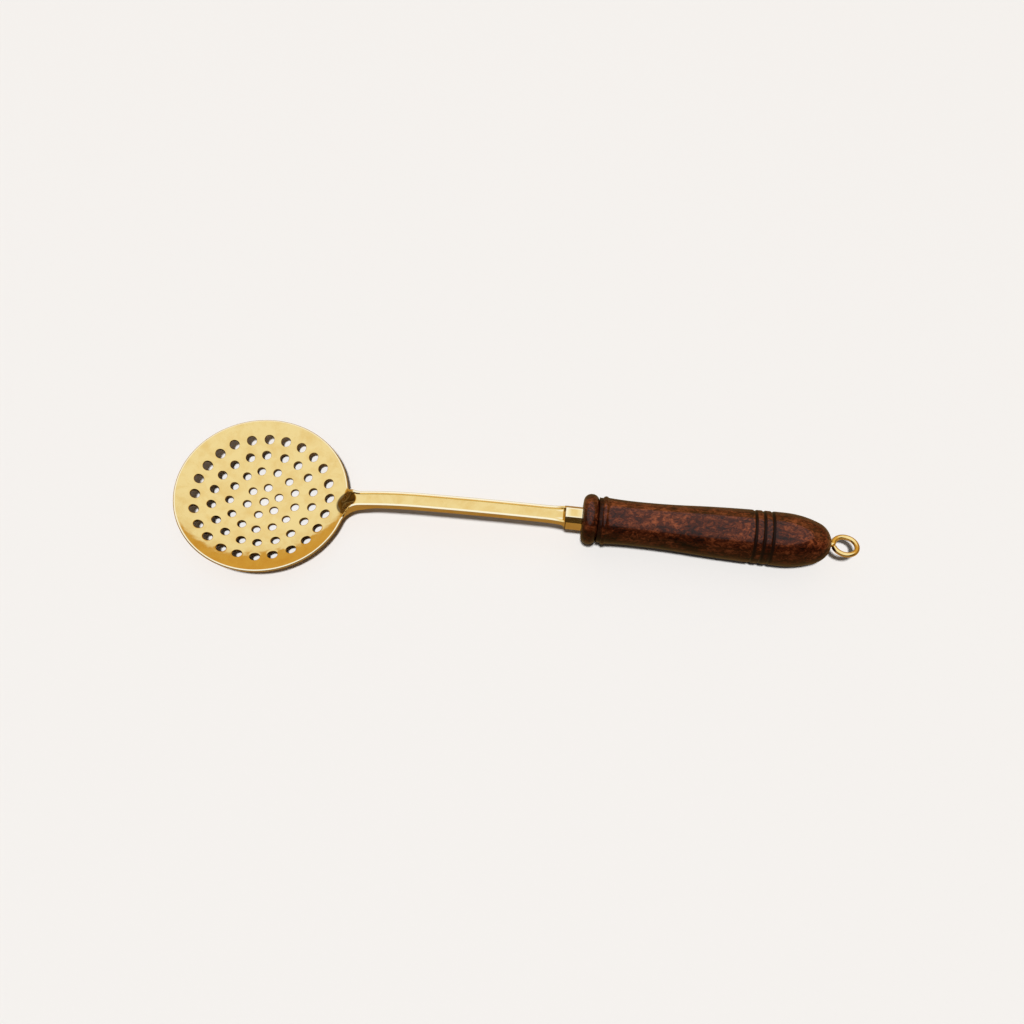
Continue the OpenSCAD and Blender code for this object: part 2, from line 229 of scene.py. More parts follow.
# The key light's place from the ladle, its width in radians and its strength
KEY_AT = Vector((-0.02, -0.45, 1.3))
KEY_ANGLE = 0.1
KEY_STRENGTH = 3.5

# The camera in the dish's frame: its place, the way it looks and the picture's right
CAMERA_AT = Vector((133.6, -291.9, 561.5))
CAMERA_AWAY = Vector((0.0071, 0.4706, -0.8823))
CAMERA_RIGHT = Vector((0.9921, 0.107, 0.065))
CAMERA_LENS = 40.43


def add_camera():
    away = CAMERA_AWAY.normalized()
    right = (CAMERA_RIGHT - away * CAMERA_RIGHT.dot(away)).normalized()
    up = right.cross(away)
    turn = Matrix((right, up, -away)).transposed().to_4x4()
    camera = bpy.data.objects.new("camera", bpy.data.cameras.new("camera"))
    camera.data.lens = CAMERA_LENS
    camera.data.clip_start = 0.01
    place = AT_REST @ Matrix.Translation(CAMERA_AT) @ turn
    place.translation *= MM
    camera.matrix_world = place
    bpy.context.scene.collection.objects.link(camera)
    bpy.context.scene.camera = camera


# Shapes

def smooth_min(a, b, blend):
    """The lesser of two heights, with the crease between them rounded."""
    near = max(blend - abs(a - b), 0) / blend
    return min(a, b) - near * near * blend / 4


def ease(value, low, high):
    """0 below low, 1 above high, and a smooth step between them."""
    t = min(max((value - low) / (high - low), 0), 1)
    return t * t * (3 - 2 * t)


def drop(distance, radius):
    """How far a rounded edge has fallen, at this distance from the outline."""
    return radius - math.sqrt(radius ** 2 - max(radius - distance, 0) ** 2)


def sheet(bm, stations, columns, place, mark=None, layer=None):
    """A grid whose points go where place(station, column) says. mark gives each its value in the layer."""
    made = bmesh.ops.create_grid(bm, x_segments=stations - 1, y_segments=columns - 1, size=1)
    for vert in made["verts"]:
        i = round((vert.co.x + 1) / 2 * (stations - 1))
        j = round((vert.co.y + 1) / 2 * (columns - 1))
        vert.co = place(i, j)
        if mark:
            vert[layer] = mark(i, j)
    return made["verts"]


def inner_height(r):
    return SPHERE_Z - math.sqrt(INNER_R ** 2 - r ** 2)


def outer_height(r):
    return SPHERE_Z - math.sqrt(OUTER_R ** 2 - r ** 2)


def shank_top(x):
    if x < SHANK_MIDDLE.x:
        return NEAR_CENTRE.z + math.sqrt(NEAR_BEND_R ** 2 - (x - NEAR_CENTRE.x) ** 2)
    return FAR_CENTRE.z + math.sqrt(FAR_BEND_R ** 2 - (x - FAR_CENTRE.x) ** 2)


def throat_height(x, y):
    """The slope from the dish up to the channel. Its sides start later and end sooner than its middle."""
    bow = THROAT_BOW * min(abs(y), THROAT_BOW_W) ** 2 * (2 * ease(x, 44, 50) - 1)
    return inner_height(THROAT_FOOT) + (x + bow - THROAT_FOOT) * THROAT_CLIMB


def surface_height(x, y):
    """Height of the dish's inside, the throat that climbs out of it, and the shank's channel."""
    r = math.hypot(x, y)
    floor = shank_top(x) - CHANNEL_DEPTH if x > THROAT_START else NO_SURFACE
    if r > DISH_REACH:
        return floor
    bowl = smooth_min(inner_height(r), 0.02, 0.1)
    if x < 0:
        return bowl
    climb = -smooth_min(-bowl, -throat_height(x, y), 0.6)
    return smooth_min(bowl + (climb - bowl) * ease(abs(y), 11.5, 5.5), floor, 0.3)


def throat_shade(x, y):
    """How dark the throat is painted here: a painted dark reflection in its slope."""
    if math.hypot(x, y) > DISH_REACH or x < 0:
        return 0
    inside = ease(PATCH_R - math.hypot(x - PATCH_AT, y), -0.35, 0.35)
    return inside * ease(shank_top(x) - CHANNEL_DEPTH - throat_height(x, y), -0.1, 0.3)


def rim_and_shank_stations():
    """Half the outline, from the dish's far side to where the shank widens.

    Each station is a point on the outline, the point it faces on the spine, and how much of a shank
    it is, from 0 on the rim to 1.
    """
    fillet_y = SHANK_W / 2 + NECK_FILLET_R
    fillet_x = math.sqrt((RIM_R + NECK_FILLET_R) ** 2 - fillet_y ** 2)
    leave = math.atan2(fillet_y, fillet_x)
    corner = math.atan2(fillet_y, fillet_x - SPINE_R)
    stations = []
    for i in range(RIM_STEPS):
        turn = math.pi - (math.pi - leave) * i / RIM_STEPS
        way = Vector((math.cos(turn), math.sin(turn)))
        stations.append((RIM_R * way, SPINE_R * way, 0))
    turns = [leave + (corner - leave) * i / NECK_STEPS for i in range(NECK_STEPS)]
    turns += [corner + (math.pi / 2 - corner) * i / FILLET_STEPS for i in range(FILLET_STEPS + 1)]
    middle = Vector((fillet_x, fillet_y))
    for i, turn in enumerate(turns):
        way = Vector((-math.cos(turn), -math.sin(turn)))
        if i < NECK_STEPS:
            along = middle.dot(way)
            reach = -along - math.sqrt(along ** 2 - middle.dot(middle) + SPINE_R ** 2)
        else:
            reach = fillet_y / math.sin(turn)
        spine = middle + reach * way
        if i >= NECK_STEPS:
            spine.y = 0
        stations.append((middle + NECK_FILLET_R * way, spine, ease(turn, leave, math.radians(62))))
    x = fillet_x
    while x < SHANK_END.x - 2:
        x += 0.5 if x < fillet_x + 5 else 1.6
        stations.append((Vector((x, SHANK_W / 2)), Vector((x, 0)), 1))
    return stations


def edge_sizes(neck):
    """How far in from the outline the rounding and the raised edge end, on the rim (0) and the shank (1)."""
    rounding = RIM_ROUND - (RIM_ROUND - SHANK_ROUND) * neck
    return rounding, rounding + (EDGE_W - SHANK_ROUND) * neck


def edge_columns(width, neck):
    """Distances from the outline to the spine: close together over the edge and the channel's side."""
    rounding, crest = edge_sizes(neck)
    spots = [rounding * (1 - math.cos(math.radians(22.5 * i))) for i in range(5)]
    spots += [max((rounding + crest) / 2, rounding + 0.04), max(crest, rounding + 0.08)]
    spots += [spots[-1] + 0.05, spots[-1] + 0.36, spots[-1] + 0.45, spots[-1] + 0.6]
    start = spots[-1]
    return spots + [start + (width - start) * i / 12 for i in range(1, 13)]


def collar_stations():
    """Places along the handle's axis, before the wood's front face, with the half width at each."""
    flare = [-FLARE_LEN - COLLAR_LEN + 0.6 * i for i in range(11)]
    cove = [-COLLAR_LEN - COVE_R * math.cos(math.radians(6 * i)) for i in range(15)]
    block = [-COLLAR_LEN + past for past in (-0.001, 0, 0.25, 0.6)] + [-9, -6, -3, -0.6, -0.2, 0]
    widening = (COLLAR_W - SHANK_W) / 2
    flare_r = (FLARE_LEN ** 2 + widening ** 2) / (2 * widening)
    stations = []
    for spot in flare + cove + block:
        run = min(spot + COLLAR_LEN + FLARE_LEN, FLARE_LEN)
        stations.append((spot, SHANK_W / 2 + flare_r - math.sqrt(flare_r ** 2 - run ** 2)))
    return stations


def block_drop(spot, distance):
    """How far the collar's block is rounded off here, at its long edges and its ends."""
    ends = drop(spot + COLLAR_LEN, NEAR_ROUND) + drop(-spot, FAR_ROUND)
    return drop(distance, FACET_ROUND) + ends


def collar_top(spot, distance):
    """Height above the shank's top, along the handle's axis."""
    wall = min(CHANNEL_WALL_SLOPE * max(distance - EDGE_W, 0), CHANNEL_DEPTH)
    ridge = -drop(distance, SHANK_ROUND) - wall
    facets = COLLAR_STEP + min(distance, COLLAR_CHAMFER)
    if spot < -COLLAR_LEN:
        past = max(spot + COLLAR_LEN + COVE_R, 0)
        cove = COVE_R - CHANNEL_DEPTH - math.sqrt(COVE_R ** 2 - past ** 2)
        return min(max(ridge, cove), facets)
    return facets - block_drop(spot, distance)


def collar_bottom(spot, distance):
    """Height of the underside above the shank's top, along the handle's axis."""
    facets = COLLAR_STEP - COLLAR_DROP - COLLAR_W / 2 - min(distance, COLLAR_CHAMFER)
    if spot < -COLLAR_LEN:
        past = max(spot + COLLAR_LEN + COVE_R, 0)
        cove = -SHANK_T - COVE_R + math.sqrt(COVE_R ** 2 - past ** 2) + drop(distance, SHANK_ROUND)
        return max(cove, facets)
    return facets + block_drop(spot, distance)


def collar_highlight(spot, distance):
    """How much painted highlight the shank's edges and the collar's get."""
    if spot < -COLLAR_LEN - COVE_R:
        return ease(distance, EDGE_W + 0.25, EDGE_W - 0.1) * ease(distance, 0.1, 0.4)
    if distance < 1.5:
        return 0
    across = ease(abs(spot + COLLAR_LEN - 0.3), 0.8, 0.3) + ease(spot, -0.8, -0.3)
    return max(across, 0.8 * ease(abs(distance - COLLAR_CHAMFER - 0.2), 0.6, 0.2))


def add_rim_and_shank(bm):
    """The casting round the pierced wall: one half's top, underside and side, then its mirror image."""
    rows, painted_highlight = [], bm.verts.layers.float["painted_highlight"]
    for edge, spine, neck in rim_and_shank_stations():
        rounding, crest = edge_sizes(neck)
        ridge = CHANNEL_DEPTH * neck
        inward = (spine - edge).normalized()
        top, bottom, highlight = [], [], []
        for distance in edge_columns((spine - edge).length, neck):
            x, y = edge + inward * distance
            r = math.hypot(x, y)
            wall = max(ridge - CHANNEL_WALL_SLOPE * max(distance - crest, 0), 0)
            height = surface_height(x, y) + wall
            top.append(Vector((x, y, height - drop(distance, rounding))))
            # Painted highlight along the crest of the raised edge
            highlight.append(ease(distance, crest + 0.25, crest - 0.1) * ease(distance, 0, 0.15))
            under = outer_height(r) if r < SPHERE_REACH else NO_SURFACE
            if x > THROAT_START:
                under = smooth_min(under, shank_top(x) - SHANK_T, 1.2)
            if r > 46:
                under = smooth_min(under, surface_height(x, y) + ridge - 2 * LIP_R, 0.1)
            bottom.append(Vector((x, y, under + drop(distance, rounding))))
        rows.append((top, bottom, highlight))
    for spot, half in collar_stations():
        top, bottom, highlight = [], [], []
        for distance in edge_columns(half, 1):
            y = half - distance
            for side, height in ((top, collar_top), (bottom, collar_bottom)):
                side.append(HANDLE_FRAME @ Vector((spot, y, COLLAR_DROP + height(spot, distance))))
            highlight.append(collar_highlight(spot, distance))
        rows.append((top, bottom, highlight))
    count = len(rows[0][0])
    verts = sheet(bm, len(rows), count, lambda i, j: rows[i][0][j], lambda i, j: rows[i][2][j], painted_highlight)
    verts += sheet(bm, len(rows), count, lambda i, j: rows[i][1][j])
    verts += sheet(bm, len(rows), 5, lambda i, j: rows[i][0][0].lerp(rows[i][1][0], j / 4))
    bmesh.ops.remove_doubles(bm, verts=verts, dist=SHEET_WELD)
    everything = bm.verts[:] + bm.edges[:] + bm.faces[:]
    bmesh.ops.mirror(bm, geom=everything, matrix=Matrix(), merge_dist=CELL_WELD, axis="Y")


def edges_at(bm, radius, height=None):
    """The open edges on a circle about the dish's axis, at a height if one is given."""

    def on_circle(vert):
        near = abs(math.hypot(vert.co.x, vert.co.y) - radius) < 0.004
        return near and (height is None or abs(vert.co.z - height) < 0.3)

    return [edge for edge in bm.edges if edge.is_boundary and all(map(on_circle, edge.verts))]


def add_cell(bm, radius, turn, half_turn, hole_r, wander):
    """One drilled hole with the four-sided patch of wall round it, drawn flat."""
    squash = math.cos(math.asin(radius / INNER_R))
    outward = Vector((math.cos(turn), math.sin(turn), 0))
    sideways = Vector((-math.sin(turn), math.cos(turn), 0))
    middle = outward * (radius + wander[0]) + sideways * wander[1]
    bands = (0, 0, 0.3, 0.62, 1)
    each = HOLE_SIDES // 4

    def place(i, j):
        side, step = i // each % 4, 2 * (i % each) / each - 1
        out, across = ((step, -1), (1, step), (-step, 1), (-1, -step))[side]
        bound_turn = turn + across * half_turn
        bound = Vector((math.cos(bound_turn), math.sin(bound_turn), 0)) * (radius + out * CELL_HALF)
        a = math.radians(-135 + 360 / HOLE_SIDES * i)
        hole = middle + hole_r * (math.cos(a) * squash * outward + math.sin(a) * sideways)
        if j == 0:
            return hole
        return (hole + (bound - hole).normalized() * 0.45).lerp(bound, bands[j])

    sheet(bm, HOLE_SIDES + 1, len(bands), place)


def add_centre_cell(bm, hole_r):
    middle = Vector((*CENTRE_STRAY, 0))

    def place(i, j):
        turn = math.tau * i / CENTRE_SIDES
        way = Vector((math.cos(turn), math.sin(turn), 0))
        return (middle + hole_r * way).lerp(way * CENTRE_CELL_R, j / 3)

    sheet(bm, CENTRE_SIDES + 1, 4, place)


def add_pierced_wall(bm):
    """The dish's wall with its drilled holes, between the centre hole and the rim."""
    chance = random.Random(7)
    wall = bmesh.new()
    add_centre_cell(wall, CENTRE_DRILL / 2)
    for radius, count, turn, drill in RINGS:
        for i in range(count):
            wander = [chance.uniform(-HOLE_WANDER, HOLE_WANDER) for _ in range(2)]
            hole_r = drill / 2 + chance.uniform(-DRILL_SPREAD, DRILL_SPREAD)
            at = math.radians(turn + i * 360 / count)
            add_cell(wall, radius, at, math.pi / count, hole_r, wander)
    bmesh.ops.remove_doubles(wall, verts=wall.verts[:], dist=CELL_WELD)
    before = CENTRE_CELL_R
    for radius, *_ in RINGS:
        bmesh.ops.bridge_loops(wall, edges=edges_at(wall, before) + edges_at(wall, radius - CELL_HALF))
        before = radius + CELL_HALF
    outermost = set(edges_at(wall, before))
    holes = [e for e in wall.edges if e.is_boundary and e not in outermost]
    for vert in wall.verts:
        vert.co.z = inner_height(math.hypot(vert.co.x, vert.co.y))
    made = bmesh.ops.duplicate(wall, geom=wall.verts[:] + wall.edges[:] + wall.faces[:])["geom"]
    made += bmesh.ops.extrude_edge_only(wall, edges=holes)["geom"]
    centre = Vector((0, 0, SPHERE_Z))
    for vert in made:
        if isinstance(vert, bmesh.types.BMVert):
            vert.co = centre + (vert.co - centre) * OUTER_R / INNER_R
    bmesh.ops.remove_doubles(wall, verts=wall.verts[:], dist=CELL_WELD)
    bmesh.ops.recalc_face_normals(wall, faces=wall.faces[:])
    drilled = [e for e in wall.edges if e.is_manifold and e.calc_face_angle(0) > math.radians(60)]
    bmesh.ops.bevel(
        wall, geom=drilled, offset=HOLE_EDGE, segments=3, profile=0.5, affect="EDGES", material=-1
    )
    mesh = bpy.data.meshes.new("wall")
    wall.to_mesh(mesh)
    wall.free()
    bm.from_mesh(mesh)
    bpy.data.meshes.remove(mesh)
    rim_top, rim_under = inner_height(SPINE_R), outer_height(SPINE_R)
    bmesh.ops.bridge_loops(bm, edges=edges_at(bm, before) + edges_at(bm, SPINE_R, rim_top))
    outer_before = before * OUTER_R / INNER_R
    bmesh.ops.bridge_loops(bm, edges=edges_at(bm, outer_before) + edges_at(bm, SPINE_R, rim_under))


def close_collar(bm):
    """The collar's end face with the stud's hole, which the wood hides."""
    end = [e for e in bm.edges if e.is_boundary and e.verts[0].co.x > SHANK_END.x]
    upright = HANDLE_FRAME @ Matrix.Rotation(math.pi / 2, 4, "Y")
    ring = bmesh.ops.create_circle(bm, segments=48, radius=STUD_BORE_R, matrix=upright)
    mouth = list(dict.fromkeys(e for v in ring["verts"] for e in v.link_edges))
    bmesh.ops.bridge_loops(bm, edges=end + mouth)
    deep = bmesh.ops.extrude_edge_only(bm, edges=mouth)["geom"]
    into = HANDLE_FRAME.to_3x3() @ Vector((-STUD_IN_COLLAR, 0, 0))
    bmesh.ops.translate(bm, vec=into, verts=[v for v in deep if isinstance(v, bmesh.types.BMVert)])
    bottom = [e for e in deep if isinstance(e, bmesh.types.BMEdge) and e.is_boundary]
    bmesh.ops.holes_fill(bm, edges=bottom, sides=0)


def finish_piece(bm, name, matrix, material, node, sharp=32):
    """Makes the object from a piece drawn in millimetres, in place of its CAD node."""
    bmesh.ops.transform(bm, matrix=matrix, verts=bm.verts[:])
    bmesh.ops.recalc_face_normals(bm, faces=bm.faces[:])
    for face in bm.faces:
        face.smooth = True
    for edge in bm.edges:
        edge.smooth = edge.calc_face_angle(0) < math.radians(sharp)
    mesh = bpy.data.meshes.new(name)
    bm.to_mesh(mesh)
    bm.free()
    mesh.materials.append(material)
    piece = bpy.data.objects.new(name, mesh)
    bpy.context.scene.collection.objects.link(piece)
    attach(piece, "root")
    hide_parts(node)


def add_casting(material):
    """The head. Each point keeps how much tarnish and painted shade it has, and how much painted highlight.
    """
    bm = bmesh.new()
    bm.verts.layers.float.new("painted_highlight")
    bm.verts.layers.float.new("hollow")
    add_rim_and_shank(bm)
    add_pierced_wall(bm)
    close_collar(bm)
    hollow, painted_highlight = bm.verts.layers.float["hollow"], bm.verts.layers.float["painted_highlight"]
    for vert in bm.verts:
        deep = (vert.co - Vector((0, 0, SPHERE_Z))).length - INNER_R
        # Tarnish, and painted shade, on the hole walls and the dish's underside
        if math.hypot(vert.co.x, vert.co.y) < SPINE_R - 0.3:
            vert[hollow] = ease(deep, 0.02, 0.5)
        # A painted dark reflection in the throat, kept off the painted highlight
        elif vert.co.x < 56 and abs(vert.co.z - surface_height(vert.co.x, vert.co.y)) < 0.2:
            vert[hollow] = 0.9 * throat_shade(vert.co.x, vert.co.y) * (1 - vert[painted_highlight])
    finish_piece(bm, "casting", TO_ROW, material, "ladle_head")


def arc(middle, radius, start, end, steps):
    """Points along an arc of the handle's profile, with angles in degrees."""
    turns = [math.radians(start + (end - start) * i / steps) for i in range(steps + 1)]
    return [(middle[0] + radius * math.cos(t), middle[1] + radius * math.sin(t)) for t in turns]


def line_distance(x):
    """How far it is from here to the middle of the nearest burnt line."""
    return min(abs(x - place) for place in LINE_PLACES)


def handle_profile():
    """The wood's half section, from the bottom of the stud's hole over the outside to the screw's hole.

    Each point is a distance from the front face and the radius there.
    """
    swell_at = HANDLE_LEN - SWELL_BACK
    ring_at = BEAD_W + QUIRK_W + NARROW_RING_ROUND
    ring_r = NARROW_RING_R - NARROW_RING_ROUND
    run, rise = swell_at - WAIST_AT, SWELL_R - WAIST_R
    waist_curve = (run ** 2 + rise ** 2) / (2 * rise) - FLANK_R
    meet = WAIST_AT + run * waist_curve / (waist_curve + FLANK_R)
    fall_x, fall_y = ring_at + NARROW_RING_ROUND * 0.8, ring_r + NARROW_RING_ROUND * 0.6
    fall = ((WAIST_AT - fall_x) ** 2 + (fall_y - WAIST_R) ** 2) / (2 * (fall_y - WAIST_R))
    dome = SHOULDER_R ** 2 - SWELL_BACK ** 2 - (SHOULDER_R - SWELL_R) ** 2
    dome /= 2 * (SHOULDER_R - SWELL_BACK)
    dome_at = HANDLE_LEN - dome
    shoulder = math.degrees(math.asin((dome_at - swell_at) / (SHOULDER_R - dome)))

    def flank(x):
        if x < WAIST_AT:
            return WAIST_R + fall - math.sqrt(fall ** 2 - (WAIST_AT - x) ** 2)
        if x < meet:
            return WAIST_R + waist_curve - math.sqrt(waist_curve ** 2 - (x - WAIST_AT) ** 2)
        return SWELL_R - FLANK_R + math.sqrt(FLANK_R ** 2 - (x - swell_at) ** 2)

    spots = [fall_x + (swell_at - fall_x) * i / 70 for i in range(1, 71)]
    reach = LINE_W * 0.7
    spots = [x for x in spots if line_distance(x) > reach]
    cuts = [place + reach * i / 7 for place in LINE_PLACES for i in range(-7, 8)]
    body = []
    for x in sorted(spots + cuts):
        off = line_distance(x) / (LINE_W / 2)
        body.append((x, flank(x) - LINE_DEPTH * ease(off, 1.25, 0.1)))
    profile = [(STUD_IN_WOOD, 0), (STUD_IN_WOOD, STUD_BORE_R)]
    profile += [(WOOD_CHAMFER, STUD_BORE_R), (0, STUD_BORE_R + WOOD_CHAMFER)]
    profile += arc((BEAD_ROUND, BEAD_R - BEAD_ROUND), BEAD_ROUND, 180, 90, 12)
    profile += arc((BEAD_W - BEAD_ROUND, BEAD_R - BEAD_ROUND), BEAD_ROUND, 90, 0, 12)
    quirk = BEAD_R - QUIRK_DEPTH
    profile += [(BEAD_W, quirk + WOOD_CHAMFER), (BEAD_W + WOOD_CHAMFER, quirk)]
    profile += [(BEAD_W + QUIRK_W - WOOD_CHAMFER, quirk)]
    profile += arc((ring_at, ring_r), NARROW_RING_ROUND, 158, 37, 12) + body
    profile += arc((swell_at, SWELL_R - SHOULDER_R), SHOULDER_R, 90, 90 - shoulder, 10)[1:]
    last = math.degrees(math.asin(SCREW_BORE_R / dome))
    profile += arc((dome_at, 0), dome, 90 - shoulder, last, 22)[1:]
    bore_end = HANDLE_LEN - SCREW_LEN - SCREW_BORE_SPARE
    return profile + [(HANDLE_LEN - 0.5, SCREW_BORE_R), (bore_end, SCREW_BORE_R), (bore_end, 0)]


def add_handle(material):
    """The wood, turned from its profile. Each point keeps how burnt it is, with painted shade in the quirk,
    and how much painted light its top has.
    """
    bm = bmesh.new()
    rim = [bm.verts.new((x, 0, r)) for x, r in handle_profile()]
    path = [bm.edges.new(pair) for pair in zip(rim, rim[1:])]
    bmesh.ops.spin(
        bm, geom=rim + path, axis=(1, 0, 0), cent=(0, 0, 0), angle=math.tau, steps=WOOD_SIDES,
        use_merge=True, use_duplicate=False,
    )
    bmesh.ops.remove_doubles(bm, verts=bm.verts[:], dist=FINE_WELD)
    burn_and_quirk_shade, painted_top_light = bm.verts.layers.float.new("burn_and_quirk_shade"), bm.verts.layers.float.new("painted_top_light")
    for vert in bm.verts:
        r = math.hypot(vert.co.y, vert.co.z)
        if r > 5:
            off = line_distance(vert.co.x) / (LINE_W / 2)
            quirk = abs(vert.co.x - BEAD_W - QUIRK_W / 2) / QUIRK_W
            # Burnt lines, and painted shade in the quirk between the bead and the ring
            vert[burn_and_quirk_shade] = max(ease(off, 1.3, 0.5), 0.8 * ease(quirk, 0.9, 0.4))
            # Painted light on the top, painted shade on the sides and underside
            vert[painted_top_light] = ease(vert.co.z / r, 0.6, 0.92)
    finish_piece(bm, "wood", TO_ROW @ HANDLE_FRAME, material, "handle", 50)


def add_eye(material):
    """The eye's wire: a screw on the handle's axis, a bend, and the ring with its free end."""
    middle_at = math.sqrt(EYE_R ** 2 + 2 * EYE_R * EYE_BEND_R)
    bend_turn = math.asin(EYE_BEND_R / (EYE_R + EYE_BEND_R))
    run = []
    screw = (
        (SCREW_LEN, 0), (SCREW_LEN, 0.3), (SCREW_LEN - 1.2, SCREW_R), (8, SCREW_R), (0.12, SCREW_R),
    )
    for back, radius in screw:
        run.append((Vector((-middle_at - back, 0, 0)), 0, radius))
    for i in range(13):
        turn = -math.pi / 2 + (math.pi / 2 - bend_turn) * i / 12
        spot = EYE_BEND_R * Vector((math.cos(turn), 1 + math.sin(turn), 0))
        run.append((spot - Vector((middle_at, 0, 0)), turn + math.pi / 2, WIRE_R))
    first, last = math.pi - bend_turn, EYE_END_TURN - math.pi
    for i in range(1, WIRE_STEPS + 1):
        turn = first + (last - first) * i / WIRE_STEPS
        run.append((EYE_R * Vector((math.cos(turn), math.sin(turn), 0)), turn - math.pi / 2, WIRE_R))
    spot, heading, _ = run[-1]
    onward = Vector((math.cos(heading), math.sin(heading), 0))
    for past, radius in ((0.1, 1.32), (0.16, 1.15), (0.18, 0.6), (0.18, 0)):
        run.append((spot + onward * past, heading, radius))

    def place(i, j):
        spot, heading, radius = run[i]
        turn = math.tau * (j % WIRE_SIDES) / WIRE_SIDES
        side = Vector((-math.sin(heading), math.cos(heading), 0))
        return spot + radius * (math.cos(turn) * side + math.sin(turn) * Vector((0, 0, 1)))

    bm = bmesh.new()
    sheet(bm, len(run), WIRE_SIDES + 1, place)
    bmesh.ops.remove_doubles(bm, verts=bm.verts[:], dist=FINE_WELD)
    to_middle = Matrix.Translation((HANDLE_LEN + EYE_GAP + middle_at, 0, 0))
    eye_frame = HANDLE_FRAME @ to_middle @ Matrix.Rotation(EYE_TURN, 4, "X")
    finish_piece(bm, "eye", TO_ROW @ eye_frame, material, "hanging_eye", 40)


# Materials

def add_node(tree, kind, inputs=None, **settings):
    """A shader node with its settings. Each input is a value, or the output that feeds it."""
    node = tree.nodes.new("ShaderNode" + kind)
    for name, value in settings.items():
        setattr(node, name, value)
    for name, value in (inputs or {}).items():
        if isinstance(value, bpy.types.NodeSocket):
            tree.links.new(value, node.inputs[name])
        else:
            node.inputs[name].default_value = value
    return node


def object_place(tree):
    return add_node(tree, "TexCoord").outputs["Object"]


def attribute(tree, name):
    return add_node(tree, "Attribute", attribute_name=name).outputs["Fac"]


def noise(tree, place, scale, detail, roughness=0.55, distortion=0):
    inputs = {"Vector": place, "Scale": scale, "Detail": detail}
    inputs |= {"Roughness": roughness, "Distortion": distortion}
    return add_node(tree, "TexNoise", inputs).outputs["Fac"]


def map_range(tree, value, low, high, to_low=0, to_high=1):
    """A value from low to high, brought to between to_low and to_high."""
    inputs = {"Value": value, "From Min": low, "From Max": high, "To Min": to_low, "To Max": to_high}
    return add_node(tree, "MapRange", inputs).outputs["Result"]


def math_node(tree, operation, a, b):
    return add_node(tree, "Math", {0: a, 1: b}, operation=operation).outputs["Value"]


def mix_colour(tree, factor, a, b, blend_type="MIX"):
    """Two colours mixed. Each is three numbers, or the output that gives it."""
    a, b = ((*colour, 1) if isinstance(colour, tuple) else colour for colour in (a, b))
    inputs = {"Factor": factor, "A": a, "B": b}
    return add_node(tree, "Mix", inputs, data_type="RGBA", blend_type=blend_type).outputs["Result"]


def colour_ramp(tree, value, stops):
    """The colour at a value, between stops of a position and a colour."""
    shade = add_node(tree, "ValToRGB", {"Fac": value})
    ramp = shade.color_ramp.elements
    for element, (position, colour) in zip(ramp, (stops[0], stops[-1])):
        element.position, element.color = position, (*colour, 1)
    for position, colour in stops[1:-1]:
        ramp.new(position).color = (*colour, 1)
    return shade.outputs["Color"]


def metal_group():
    """Colour, roughness and normal of hand-polished brass, on the object's own coordinates."""
    group = bpy.data.node_groups.new("polished_metal", "ShaderNodeTree")
    sockets = (
        ("Bright", "INPUT", "Color"), ("Deep", "INPUT", "Color"), ("Waves", "INPUT", "Float"),
        ("Tarnish And Shade", "INPUT", "Float"), ("Painted Highlight", "INPUT", "Float"),
        ("Colour", "OUTPUT", "Color"), ("Roughness", "OUTPUT", "Float"), ("Normal", "OUTPUT", "Vector"),
    )
    for name, way, kind in sockets:
        group.interface.new_socket(name, in_out=way, socket_type="NodeSocket" + kind)
    given = group.nodes.new("NodeGroupInput").outputs
    place = object_place(group)

    cloud = map_range(group, noise(group, place, 140, 5, 0.6, 0.4), 0.42, 0.72)
    tint = mix_colour(group, cloud, given["Bright"], given["Deep"])
    # Paler brass for the painted highlight, then near black for tarnish and painted shade
    painted_highlight = mix_colour(group, given["Painted Highlight"], tint, HIGHLIGHT_BRASS)
    colour = mix_colour(group, given["Tarnish And Shade"], painted_highlight, TARNISH_AND_SHADE)
    gloss = map_range(group, noise(group, place, 420, 4), 0.3, 0.7, 0.05, 0.11)
    waves = {"Distance": 0.00012, "Strength": given["Waves"], "Height": noise(group, place, 110, 2)}
    broad = add_node(group, "Bump", waves).outputs["Normal"]
    marks = {"Distance": 0.000006, "Strength": 0.5, "Height": noise(group, place, 1500, 3)}
    fine = add_node(group, "Bump", {**marks, "Normal": broad}).outputs["Normal"]

    made = group.nodes.new("NodeGroupOutput").inputs
    for name, output in (("Colour", colour), ("Roughness", gloss), ("Normal", fine)):
        group.links.new(output, made[name])
    return group


def new_material(name, metallic, roughness, colour):
    material = bpy.data.materials.new(name)
    material.use_nodes = True
    shader = material.node_tree.nodes["Principled BSDF"]
    shader.inputs["Base Color"].default_value = (*colour, 1)
    shader.inputs["Metallic"].default_value = metallic
    shader.inputs["Roughness"].default_value = roughness
    return material


def metal(name, group, bright, deep, waves):
    """Polished brass with its deeper tint, and how strong the waves are that polishing left in it."""
    material = new_material(name, 1, 0.12, bright)
    tree = material.node_tree
    inputs = {
        "Bright": (*bright, 1), "Deep": (*deep, 1), "Waves": waves,
        "Tarnish And Shade": attribute(tree, "hollow"), "Painted Highlight": attribute(tree, "painted_highlight"),
    }
    look = add_node(tree, "Group", inputs, node_tree=group).outputs
    shader = tree.nodes["Principled BSDF"].inputs
    for output, socket in (("Colour", "Base Color"), ("Roughness", "Roughness"), ("Normal", "Normal")):
        tree.links.new(look[output], shader[socket])
    return material


